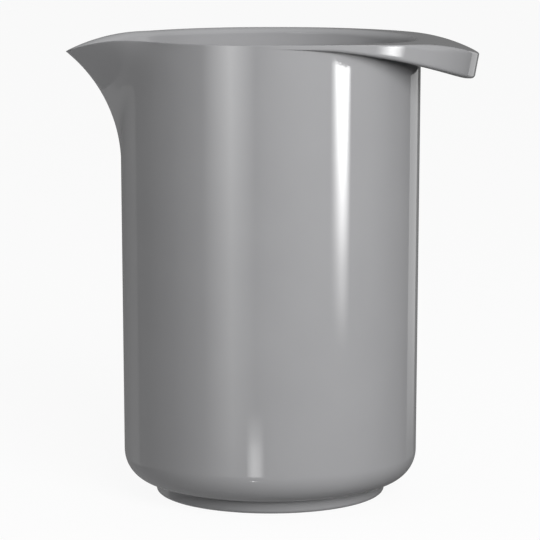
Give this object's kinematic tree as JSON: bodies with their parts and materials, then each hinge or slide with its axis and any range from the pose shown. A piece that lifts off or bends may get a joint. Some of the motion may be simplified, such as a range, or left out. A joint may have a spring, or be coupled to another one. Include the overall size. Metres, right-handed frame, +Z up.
{
  "type": "mixing jug",
  "caption": "Tall straight-sided moulded mixing jug with a drawn-out pouring spout, a brim-shaped hollow grip opposite it and a rubber ring let into its foot.",
  "frame": {"origin": "on the bowl's axis, on the surface that the jug stands on", "axes": "+Z up along the bowl's axis, -X towards the spout, +X towards the grip, Y across"},
  "size_m": [0.1431, 0.1042, 0.1602],
  "materials": {
    "jug_body": "glossy",
    "non_slip_ring": "matt"
  },
  "bodies": {
    "root": {"jug_body": "jug_body", "non_slip_ring": "non_slip_ring"}
  },
  "joints": []
}
